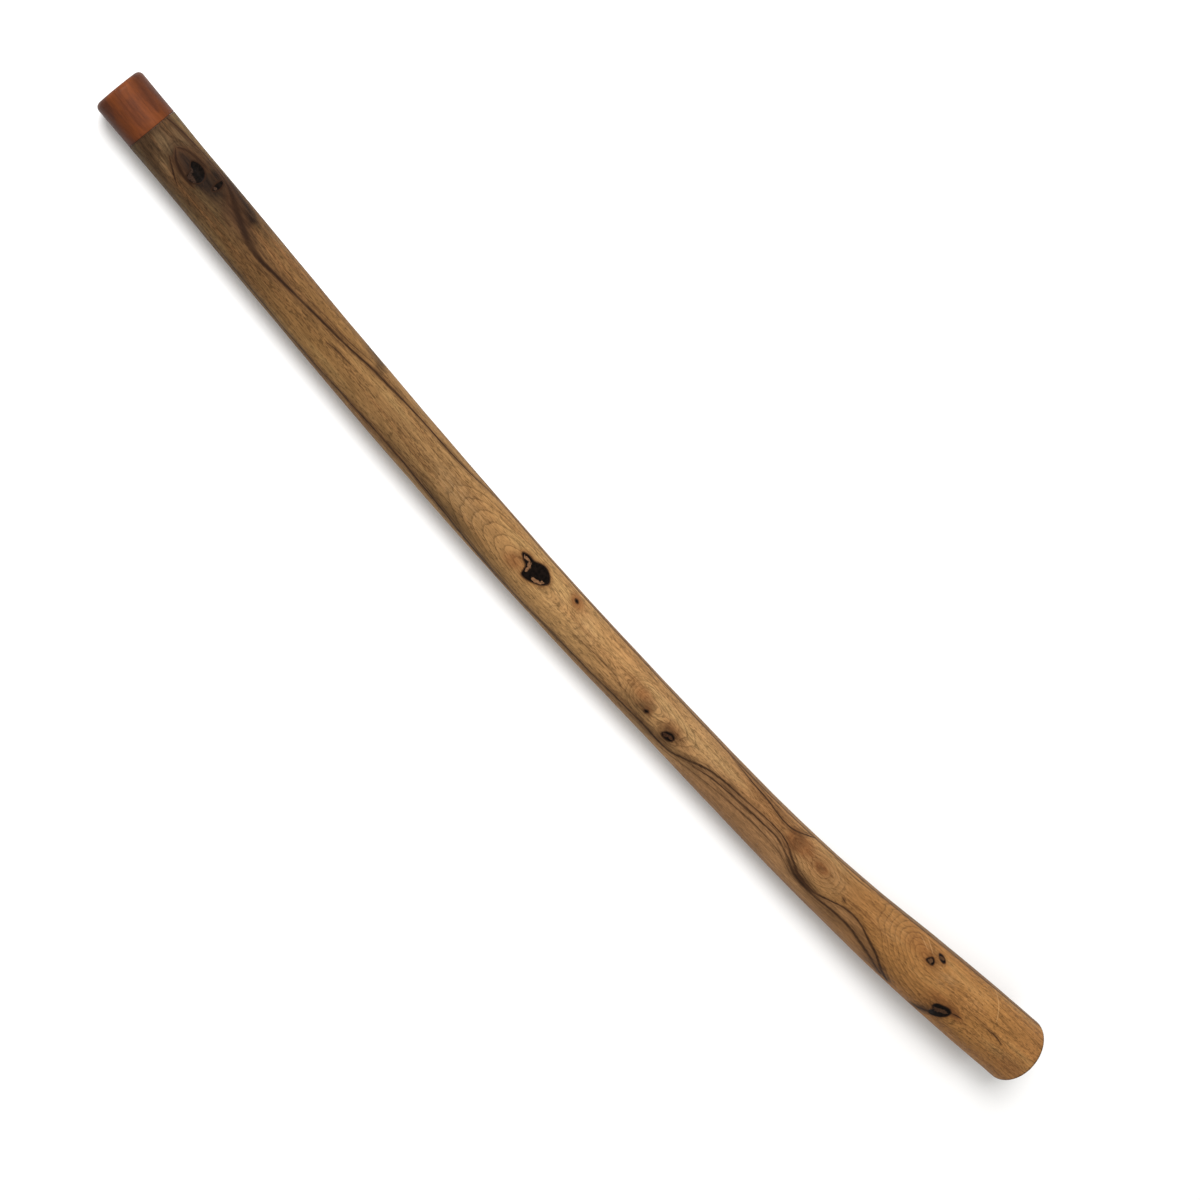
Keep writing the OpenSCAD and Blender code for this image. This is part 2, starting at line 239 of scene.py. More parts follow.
class Tube:
    """Axis, outer radius, bore and seam of the tube, measured on the cross sections of the CAD back shell."""

    FLOOR_BAND = 0.02  # lower points lie on the floor
    SECTION_GAP = 5  # cross sections are further apart than this
    SECTION_BAND = 0.3  # points nearer than this to a section's plane belong to it
    CLEAR_OF_FLOOR = 2  # higher points give the radius well
    SKIN_BAND = 0.1  # points this near to the radius lie on the outside

    def __init__(self):
        low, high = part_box("mouthpiece_ring")
        self.lip = low.x / MM
        self.side = (low.y + high.y) / 2 / MM
        self.mouth_radius = (high.z - low.z) / 2 / MM
        points = cad_points("back_shell")
        # each section's lowest point is on the floor, right below the axis
        lowest = points[points[:, 2] < self.FLOOR_BAND]
        lowest = lowest[np.argsort(lowest[:, 0])]
        lowest = lowest[np.r_[True, np.diff(lowest[:, 0]) > self.SECTION_GAP]]
        self.places = lowest[:, 0] - self.lip
        self.offsets = lowest[:, 1]
        turns = np.arctan(np.gradient(self.offsets, self.places))
        radii, bores, seams = [], [], []
        for low_point, turn in zip(lowest, turns, strict=True):
            ahead = (points - low_point) @ (math.cos(turn), math.sin(turn), 0)
            aside = (points - low_point) @ (-math.sin(turn), math.cos(turn), 0)
            height = points[:, 2]
            here = (abs(ahead) < self.SECTION_BAND) & (height > self.CLEAR_OF_FLOOR)
            aside, height = aside[here], height[here]
            radius = ((aside**2 + height**2) / (2 * height)).max()
            reach = np.hypot(aside, height - radius)
            angles = np.degrees(np.arctan2(aside, height - radius))[reach > radius - self.SKIN_BAND]
            radii.append(radius)
            bores.append(reach.min())
            seams.append(angles[angles > 0].min() - math.degrees(SEAM_HALF / radius))
        bores[0] = bores[1]  # the tenon's socket hides the bore in the first section
        self.radii, self.bores, self.seams = np.array(radii), np.array(bores), np.array(seams)
        self.start = float(self.places[0])
        self.start_of_edge = float(self.places[-1])
        self.end = self.start_of_edge + BELL_EDGE

    def offset(self, place):
        return between(place, self.places, self.offsets)

    def turn(self, place):
        """The axis's heading in plan, in radians."""
        return np.arctan((self.offset(place + 1) - self.offset(place - 1)) / 2)

    def radius(self, place):
        return between(place, self.places, self.radii)

    def bore(self, place):
        return between(place, self.places, self.bores)

    def seam(self, place):
        return between(place, self.places, self.seams)

    def edge_drop(self, place):
        """How far the bell's rounded edge draws the surface in."""
        into = np.clip(place - self.start_of_edge, 0, BELL_EDGE)
        return BELL_EDGE - np.sqrt(BELL_EDGE**2 - into**2)

    def surface(self, place, angle):
        """Radius of the visual wood surface, a little uneven and never outside the CAD surface."""
        waves = sum(
            height * (1 + np.sin(2 * np.pi * place / length + around * np.radians(angle) + phase))
            for height, length, around, phase in WOBBLES
        )
        near_ring = smooth_step(place, self.start, self.start + 30)
        near_end = 1 - smooth_step(place, self.end - 25, self.end - 5)
        return self.radius(place) - self.edge_drop(place) - SKIN - waves * near_ring * near_end

    def point(self, place, radius, angle):
        """Points of the shared frame, in mm."""
        turn, around = self.turn(place), np.radians(angle)
        return np.stack(
            [
                self.lip + place - radius * np.sin(around) * np.sin(turn),
                self.offset(place) + radius * np.sin(around) * np.cos(turn),
                self.radius(place) + radius * np.cos(around),
            ],
            -1,
        )

    def outward(self, place, angle):
        turn, around = self.turn(place), np.radians(angle)
        return np.array([-np.sin(around) * np.sin(turn), np.sin(around) * np.cos(turn), np.cos(around)])

    def locate(self, points):
        """Place, radius and angle of points of the shared frame, in mm."""
        along = points[:, 0] - self.lip
        place = along.copy()
        for _ in range(8):
            turn = self.turn(place)
            aside = points[:, 1] - self.offset(place)
            place = place + (along - place) * np.cos(turn) + aside * np.sin(turn)
        turn = self.turn(place)
        aside = (points[:, 1] - self.offset(place)) * np.cos(turn) - (along - place) * np.sin(turn)
        height = points[:, 2] - self.radius(place)
        return place, np.hypot(aside, height), np.degrees(np.arctan2(aside, height))


tube = Tube()


# --------------------------------------------------------------- mesh building


def mesh_object(name, points, faces):
    """A new object from points in mm, with its normals outward."""
    mesh = bpy.data.meshes.new(name)
    mesh.from_pydata((np.asarray(points) * MM).tolist(), [], faces)
    shape = bmesh.new()
    shape.from_mesh(mesh)
    bmesh.ops.recalc_face_normals(shape, faces=shape.faces)
    shape.to_mesh(mesh)
    shape.free()
    thing = bpy.data.objects.new(name, mesh)
    bpy.context.scene.collection.objects.link(thing)
    return thing


def soften(thing, sharpest):
    """Smooth shading, with edges sharper than this many degrees kept."""
    thing.data.shade_smooth()
    thing.data.set_sharp_from_angle(angle=math.radians(sharpest))


def arc(centre, radius, start, end, steps=10):
    """Points of an arc in a lathe profile, which is rows of radius and place."""
    turns = np.radians(np.linspace(start, end, steps + 1))
    return [(centre[0] + radius * math.cos(t), centre[1] + radius * math.sin(t)) for t in turns]


def lathe(name, profile, steps=160):
    """A closed profile of (radius, place) rows turned around the mouthpiece's axis."""
    profile = np.array(profile)
    turns = np.linspace(0, 2 * np.pi, steps, endpoint=False)
    radius, place = profile[:, 0], profile[:, 1]
    points = np.stack(
        [
            np.broadcast_to(tube.lip + place, (steps, len(profile))),
            tube.side + np.sin(turns)[:, None] * radius,
            tube.mouth_radius + np.cos(turns)[:, None] * radius,
        ],
        -1,
    ).reshape(-1, 3)
    count = len(profile)
    faces = [
        (
            i * count + k,
            i * count + (k + 1) % count,
            (i + 1) % steps * count + (k + 1) % count,
            (i + 1) % steps * count + k,
        )
        for i in range(steps)
        for k in range(count)
    ]
    return mesh_object(name, points, faces)


def sweep(name, sections, caps):
    """A solid through rows of cross sections. caps are the faces that close one section."""
    rows, size = sections.shape[:2]
    faces = [
        (i * size + k, i * size + (k + 1) % size, (i + 1) * size + (k + 1) % size, (i + 1) * size + k)
        for i in range(rows - 1)
        for k in range(size)
    ]
    faces += [tuple(cap) for cap in caps]
    faces += [tuple((rows - 1) * size + k for k in reversed(cap)) for cap in caps]
    return mesh_object(name, sections.reshape(-1, 3), faces)


def rows_along(step):
    """Places of the cross sections: even steps, then the rounding of the bell's edge."""
    count = round((tube.start_of_edge - tube.start) / step)
    plain = np.linspace(tube.start, tube.start_of_edge, count + 1)
    into = BELL_EDGE * np.sin(np.radians(np.linspace(0, 90, BELL_EDGE_STEPS + 1)[1:]))
    return np.r_[plain, tube.start_of_edge + into - SKIN * (into / BELL_EDGE)]


def half_shell(name, turn_from_seam):
    """One half of the branch, from one seam around to the other."""
    places = rows_along(ROW_STEP)[:, None]
    inner_steps = OUTER_STEPS // STEPS_PER_INNER_STEP
    gap = np.degrees(SEAM_HALF / tube.radius(places))
    across = np.linspace(0, 1, OUTER_STEPS + 1)
    outer_angles = tube.seam(places) + turn_from_seam + gap + (180 - 2 * gap) * across
    outer = tube.point(places, tube.surface(places, outer_angles), outer_angles)
    bore = tube.bore(places) + tube.edge_drop(places)
    gap = np.degrees(SEAM_HALF / bore)
    across = np.linspace(1, 0, inner_steps + 1)
    inner_angles = tube.seam(places) + turn_from_seam + gap + (180 - 2 * gap) * across
    gouged = GOUGE_HEIGHT * np.sin(places / 5.5 + 2 * np.sin(places / 31) + np.radians(inner_angles) * 3)
    in_bore = 1 - smooth_step(places, tube.end - 20, tube.end - 6)
    inner = tube.point(places, bore + gouged * in_bore, inner_angles)
    last = OUTER_STEPS + 1 + inner_steps
    caps = []
    for k in range(inner_steps):
        outer_part = [k * STEPS_PER_INNER_STEP + j for j in range(STEPS_PER_INNER_STEP + 1)]
        caps.append([*outer_part, last - k - 1, last - k])
    return sweep(name, np.concatenate([outer, inner], axis=1), caps)


def seam_strip(name, turn):
    """The glue in one seam, a little below the wood."""
    places = rows_along(SEAM_ROW_STEP)[:, None]
    middle = tube.seam(places) + turn
    outer = tube.surface(places, middle) - SEAM_RECESS
    inner = tube.bore(places) + tube.edge_drop(places)
    radius = np.concatenate([outer, outer, inner, inner], axis=1)
    gap = np.degrees(SEAM_HALF / radius) * [-1, 1, 1, -1]
    return sweep(name, tube.point(places, radius, middle + gap), [[0, 1, 2, 3]])


def cut_out(thing, cutter):
    """Takes the cutter's volume out of a solid and removes the cutter."""
    change = thing.modifiers.new("cut", "BOOLEAN")
    change.solver = "MANIFOLD"
    change.operation = "DIFFERENCE"
    change.object = cutter
    bpy.context.view_layer.update()
    evaluated = thing.evaluated_get(bpy.context.evaluated_depsgraph_get())
    result = bpy.data.meshes.new_from_object(evaluated)
    thing.modifiers.clear()
    thing.data = result
    result.name = thing.name
    bpy.data.objects.remove(cutter)


# ------------------------------------------------------------------ resin fills


class Knot:
    """A knot filled with resin, with the outline of its CAD inlay's flat floor."""

    def __init__(self, node):
        shape = bmesh.new()
        shape.from_mesh(frame["nodes"][node].data)
        bmesh.ops.remove_doubles(shape, verts=shape.verts, dist=1e-6)
        shape.normal_update()
        middle = np.mean([v.co for v in shape.verts], axis=0) / MM
        place, _, angle = tube.locate(middle[None])
        outward = Vector(tube.outward(place[0], angle[0]))
        # the faces that look inward are the inlay's floor
        floor = {f for f in shape.faces if f.normal.dot(outward) < -0.7}
        edges = [e for e in shape.edges if sum(f in floor for f in e.link_faces) == 1]
        corner = edges[0].verts[0]
        loop, used = [], set()
        while corner not in loop:
            loop.append(corner)
            edge = next(e for e in edges if e not in used and corner in e.verts)
            used.add(edge)
            corner = edge.other_vert(corner)
        corners = np.array([v.co for v in loop]) / MM
        self.normal = -np.array(sum((f.normal * f.calc_area() for f in floor), Vector()))
        self.normal /= np.linalg.norm(self.normal)
        shape.free()
        self.centre = corners.mean(0)
        turn = tube.turn(place[0])
        forward = np.array([math.cos(turn), math.sin(turn), 0])
        forward -= self.normal * (forward @ self.normal)
        self.forward = forward / np.linalg.norm(forward)
        self.sideways = np.cross(self.normal, self.forward)
        flat = (corners - self.centre) @ np.stack([self.forward, self.sideways], 1)
        self.outline = self.refined(flat, 3)
        self.node = node

    @staticmethod
    def refined(loop, parts):
        """The closed loop with more points, on a smooth curve."""
        a, b, c, d = (np.roll(loop, -k, 0)[:, None] for k in range(4))
        u = (np.arange(parts) / parts)[None, :, None]
        curve = b + (c - a) * u / 2
        curve = curve + (2 * a - 5 * b + 4 * c - d) * u**2 / 2 + (3 * b - a - 3 * c + d) * u**3 / 2
        return curve.reshape(-1, 2)

    def lift(self, flat, height):
        """Points of the shared frame for outline coordinates, at a height above the knot's floor."""
        height = np.broadcast_to(height, len(flat))[:, None]
        return self.centre + flat[:, :1] * self.forward + flat[:, 1:] * self.sideways + height * self.normal

    def cutter(self):
        """A prism through the wood, from the knot's floor outward."""
        count = len(self.outline)
        points = np.concatenate([self.lift(self.outline, 0), self.lift(self.outline, CUTTER_HEIGHT)])
        sides = [(k, (k + 1) % count, (k + 1) % count + count, k + count) for k in range(count)]
        ends = [tuple(range(count)), tuple(range(2 * count - 1, count - 1, -1))]
        return mesh_object("cutter", points, sides + ends)

    def rim_distance(self, flat):
        """Distance from points in outline coordinates to the outline."""
        start, end = self.outline, np.roll(self.outline, -1, 0)
        best = np.full(len(flat), np.inf)
        for a, b in zip(start, end, strict=True):
            u = np.clip((flat - a) @ (b - a) / ((b - a) @ (b - a)), 0, 1)[:, None]
            best = np.minimum(best, np.linalg.norm(flat - a - u * (b - a), axis=1))
        return best

    def resin(self, dip, reach, brown_spots):
        """The resin: level with the wood at the rim, sunk by dip further in than reach."""
        middle = self.outline.mean(0)
        shares = 1 - np.linspace(0, 1, 15)[:-1] ** 1.2
        rings = [middle + (self.outline - middle) * share for share in shares]
        rings = np.concatenate([*rings, middle[None]])
        rim = self.rim_distance(rings)
        sunk = 0.06 + dip * (1 - np.exp(-rim / reach))
        height = np.full(len(rings), INLAY_DEPTH)
        for _ in range(6):
            place, radius, angle = tube.locate(self.lift(rings, height))
            height += tube.surface(place, angle) - sunk - radius
        points = np.concatenate([self.lift(rings, height), self.lift(self.outline, 0.05)])
        count, last, floor = len(self.outline), len(rings) - 1, len(rings)
        faces = []
        for k in range(count):
            following = (k + 1) % count
            for ring in range(len(shares) - 1):
                a, b = ring * count + k, ring * count + following
                faces.append((a, b, b + count, a + count))
            inner = (len(shares) - 1) * count
            faces.append((inner + k, inner + following, last))
            faces.append((k, following, floor + following, floor + k))
        faces.append(tuple(range(floor, floor + count)))
        thing = mesh_object(self.node + "_resin", points, faces)
        below = np.full(count, rim.max())
        store(thing, "rim", "FLOAT", np.r_[rim, below])
        flat = np.r_[rings, self.outline]
        store(thing, "flat", "FLOAT_VECTOR", np.c_[flat, np.zeros(len(points))])
        shown = np.zeros(len(points))
        for along, across, long, wide in brown_spots:
            shown += np.exp(-(((flat[:, 0] - along) / long) ** 2 + ((flat[:, 1] - across) / wide) ** 2))
        store(thing, "brown_spot", "FLOAT", shown)
        return thing


# ------------------------------------------------------- attributes for shading


def store(thing, name, kind, values):
    """Writes one value, or one row of values, per vertex."""
    layer = thing.data.attributes.new(name, kind, "POINT")
    layer.data.foreach_set("value" if kind == "FLOAT" else "vector", np.asarray(values, np.float32).ravel())


def aside_of(place, angle, centre_place, centre_angle):
    """Distances along and across the surface from a point of it."""
    around = (angle - centre_angle + 180) % 360 - 180
    return place - centre_place, np.radians(around) * tube.radius(place)


def line_distance(lines, place, angle):
    """Signed distance to the nearest of the lines, in half-widths of that line."""
    nearest = np.full(len(place), FAR)
    for line in lines:
        xs, angles, widths = np.array(line, float).T
        inside = np.clip(place, xs[0], xs[-1])
        middle = between(inside, xs, angles)
        steep = (between(inside + 0.5, xs, angles) - between(inside - 0.5, xs, angles)) * np.radians(1)
        radius = tube.radius(place)
        across = np.radians((angle - middle + 180) % 360 - 180) * radius / np.hypot(1, steep * radius)
        beyond = abs(place - inside)
        width = np.interp(inside, xs, widths)
        distance = np.clip(across / width, -FAR, FAR)
        distance += np.where(distance < 0, -1, 1) * beyond / width
        nearest = np.where(abs(distance) < abs(nearest), distance, nearest)
    return nearest


def patches(spots, place, angle):
    """Sum of soft-edged round patches, at most 1."""
    total = np.zeros(len(place))
    for centre_place, centre_angle, long, wide, strength in spots:
        along, across = aside_of(place, angle, centre_place, centre_angle)
        total += strength * np.exp(-(((along / long) ** 2 + (across / wide) ** 2) ** 1.6))
    return np.clip(total, 0, 1)


def grain_parting(place, angle):
    """How far the grain is pushed aside around the knots."""
    parted = np.zeros(len(place))
    for centre_place, centre_angle, wide, long in PARTINGS:
        along, across = aside_of(place, angle, centre_place, centre_angle)
        parted += (
            0.75 * wide * np.tanh(across / (0.35 * wide))
            * np.exp(-((along / long) ** 2)) * np.exp(-abs(across) / (1.3 * wide))
        )
    return parted


def growth_rings(place, angle):
    """The ring count that rises towards each swirl's centre, and how clearly the rings show."""
    rings, contrast = np.zeros(len(place)), np.zeros(len(place))
    for centre_place, centre_angle, to_mouth, to_bell, wide, count, clear, drawn in SWIRLS:
        along, across = aside_of(place, angle, centre_place, centre_angle)
        along = along + drawn * np.minimum(across, 0)
        bellward = smooth_step(along, -8, 25)
        along = along / np.where(along < 0, to_mouth, to_bell)
        out = np.sqrt(along**2 + (across / wide) ** 2 + 0.01)
        rings += count * np.log1p(np.exp(9 * (1 - out))) / 9
        contrast += (1 - (1 - clear) * bellward) * smooth_step(1.0 - out, 0, 0.15)
    return rings, np.clip(contrast, 0, 1)


def heartwood_share(place, radius, angle):
    """1 where heartwood shows, 0 elsewhere."""
    xs, angles, _ = np.array(LONG_VEIN, float).T
    below = np.radians(between(np.clip(place, xs[0], xs[-1]), xs, angles) - angle) * radius
    share = smooth_step(below, -0.8, 0.8) * smooth_step(place, *HEARTWOOD_START)
    share = share * (1 - smooth_step(place, *HEARTWOOD_END))
    return share * (angle < 60)


def knot_distance(points, knots):
    """Distance to the nearest knot's outline."""
    rim = np.full(len(points), FAR)
    for knot in knots:
        near = np.linalg.norm(points - knot.centre, axis=1) < KNOT_REACH
        if near.any():
            flat = (points[near] - knot.centre) @ np.stack([knot.forward, knot.sideways], 1)
            rim[near] = np.minimum(rim[near], knot.rim_distance(flat))
    return rim


def describe_wood(thing, knots):
    """Stores where each vertex lies in the grain, rings, veins and patches."""
    points = np.empty(len(thing.data.vertices) * 3)
    thing.data.vertices.foreach_get("co", points)
    points = points.reshape(-1, 3) / MM
    place, radius, angle = tube.locate(points)
    grain = np.radians(angle) - grain_parting(place, angle) / tube.radius(place)
    straight = np.stack([place, radius * np.sin(grain), radius * np.cos(grain)], 1)
    store(thing, "straight", "FLOAT_VECTOR", straight)
    rings, contrast = growth_rings(place, angle)
    store(thing, "rings", "FLOAT", rings)
    store(thing, "ring_contrast", "FLOAT", contrast)
    veins = [line_distance(row, place, angle) for row in VEINS]
    store(thing, "veins", "FLOAT_VECTOR", np.stack(veins[:3], 1))
    store(thing, "faint_vein", "FLOAT", veins[3])
    store(thing, "scratch", "FLOAT", line_distance(SCRATCHES, place, angle))
    tint = [patches(spots, place, angle) for spots in (RED_PATCHES, DARK_PATCHES, PALE_PATCHES)]
    store(thing, "tint", "FLOAT_VECTOR", np.stack(tint, 1))
    seam = tube.seam(place)
    off_seam = np.minimum(abs((angle - seam + 180) % 360 - 180), abs((angle - seam) % 360 - 180))
    store(thing, "seam", "FLOAT", np.radians(off_seam) * radius)
    store(thing, "depth", "FLOAT", tube.radius(place) - radius)
    store(thing, "heartwood", "FLOAT", heartwood_share(place, radius, angle))
    store(thing, "rim", "FLOAT", knot_distance(points, knots))


# -------------------------------------------------------------------- materials


def rgb(red, green, blue):
    """A linear colour from the 0 to 255 values of a screen colour."""
    screen = [c / 255 for c in (red, green, blue)]
    return (*(((c + 0.055) / 1.055) ** 2.4 if c > 10 / 255 else c / 12.92 for c in screen), 1)


class Graph:
    """Short calls for building the nodes of one material."""

    def __init__(self, name):
        self.material = bpy.data.materials.new(name)
        self.material.use_nodes = True
        self.tree = self.material.node_tree
        self.shader = self.tree.nodes["Principled BSDF"]

    def node(self, kind, **settings):
        node = self.tree.nodes.new("ShaderNode" + kind)
        for name, value in settings.items():
            setattr(node, name, value)
        return node

    def feed(self, value, socket):
        """Sets a socket from a number, a colour or another node's output."""
        if isinstance(value, bpy.types.NodeSocket):
            self.tree.links.new(value, socket)
        elif socket.type == "VECTOR":
            socket.default_value = value[:3]
        else:
            socket.default_value = value

    def attribute(self, name, output="Fac"):
        return self.node("Attribute", attribute_name=name).outputs[output]

    def parts(self, vector):
        node = self.node("SeparateXYZ")
        self.feed(vector, node.inputs[0])
        return node.outputs[0], node.outputs[1], node.outputs[2]

    def math(self, operation, a, b=0.0):
        node = self.node("Math", operation=operation)
        for value, socket in zip((a, b), node.inputs):
            self.feed(value, socket)
        return node.outputs[0]

    def add(self, a, b):
        return self.math("ADD", a, b)

    def times(self, a, b):
        return self.math("MULTIPLY", a, b)

    def stretched(self, vector, along, across, shift=0.0):
        """Coordinates scaled differently along the grain and across it."""
        node = self.node("VectorMath", operation="MULTIPLY_ADD")
        self.feed(vector, node.inputs[0])
        node.inputs[1].default_value = (along, across, across)
        node.inputs[2].default_value = (shift, shift, shift)
        return node.outputs[0]

    def noise(self, vector, detail, roughness, distortion=0.0):
        node = self.node("TexNoise")
        self.feed(vector, node.inputs["Vector"])
        node.inputs["Scale"].default_value = 1
        node.inputs["Detail"].default_value = detail
        node.inputs["Roughness"].default_value = roughness
        node.inputs["Distortion"].default_value = distortion
        return node.outputs["Fac"]

    def ease(self, value, low, high, from_value=0.0, to_value=1.0):
        """Smooth change from one value to another as the input goes from low to high."""
        node = self.node("MapRange", interpolation_type="SMOOTHSTEP")
        for socket, setting in zip(node.inputs, (value, low, high, from_value, to_value)):
            self.feed(setting, socket)
        return node.outputs[0]

    def ramp(self, value, stops):
        """Colours along a value: rows of place from 0 to 1, and colour."""
        node = self.node("ValToRGB")
        self.feed(value, node.inputs[0])
        points = node.color_ramp.elements
        while len(points) < len(stops):
            points.new(0.5)
        for point, (at, colour) in zip(points, stops, strict=True):
            point.position = at
            point.color = colour
        return node.outputs[0]

    def mix(self, factor, a, b):
        """Colour a where the factor is 0, and b where it is 1."""
        node = self.node("Mix", data_type="RGBA")
        self.feed(factor, node.inputs[0])
        self.feed(a, node.inputs[6])
        self.feed(b, node.inputs[7])
        return node.outputs[2]

    def shade(self, colour, amount):
        """The colour made lighter or darker: multiplied by a grey value."""
        node = self.node("VectorMath", operation="SCALE")
        self.feed(colour, node.inputs[0])
        self.feed(amount, node.inputs["Scale"])
        return node.outputs[0]

    def bump(self, height, distance_mm, strength, onto=None):
        node = self.node("Bump")
        node.inputs["Strength"].default_value = strength
        node.inputs["Distance"].default_value = distance_mm * MM
        self.feed(height, node.inputs["Height"])
        if onto is not None:
            self.feed(onto, node.inputs["Normal"])
        return node.outputs[0]

    def finish(self, **values):
        for name, value in values.items():
            self.feed(value, self.shader.inputs[name.replace("_", " ")])
        return self.material


COLOUR_SPAN = 1400.0  # length of tube that the shares below refer to
# Colour of the branch along the tube: share of the length, colour. Towards the mouth it is partly painted
# shade, which also evens out the key lamp standing nearer that end.
FRONT_COLOURS = [
    (0.03, rgb(84, 62, 42)), (0.075, rgb(92, 68, 45)), (0.11, rgb(110, 82, 52)), (0.15, rgb(130, 95, 58)),
    (0.19, rgb(140, 103, 62)), (0.27, rgb(145, 109, 69)), (0.31, rgb(158, 121, 78)),
    (0.36, rgb(172, 130, 82)),
    (0.46, rgb(184, 142, 92)), (0.5, rgb(178, 134, 86)), (0.58, rgb(181, 139, 92)), (0.63, rgb(160, 118, 76)),
    (0.68, rgb(166, 122, 78)), (0.72, rgb(175, 132, 86)), (0.76, rgb(158, 115, 70)), (0.8, rgb(165, 117, 67)),
    (0.86, rgb(173, 122, 70)), (0.93, rgb(175, 124, 70)), (1.0, rgb(171, 120, 70)),
]
BACK_COLOURS = [
    (0.03, rgb(96, 72, 50)), (0.15, rgb(124, 94, 64)), (0.3, rgb(146, 112, 78)), (0.6, rgb(148, 114, 80)),
    (1.0, rgb(140, 106, 74)),
]
# Colours that lie over the branch's own
WARM_BAND = rgb(150, 102, 62)
OLIVE_BAND = rgb(152, 128, 84)
HEARTWOOD = rgb(158, 118, 82)
PALE_WOOD = rgb(206, 170, 124)
RED_WOOD = rgb(126, 76, 42)
SMOKE_AND_SHADE = rgb(32, 23, 19)
VEIN_HALO = rgb(92, 62, 40)
VEIN_STREAK = rgb(66, 43, 28)
VEIN_CORE = rgb(36, 22, 14)
SCRATCHED = rgb(194, 152, 104)
KNOT_HALO = rgb(120, 76, 42)
KNOT_EDGE = rgb(38, 23, 14)
SEAM_SHADE = rgb(66, 45, 29)
DARKER_EDGE = rgb(64, 47, 30)
RING_SHADE = rgb(48, 33, 22)
RAW_WOOD = rgb(84, 62, 42)


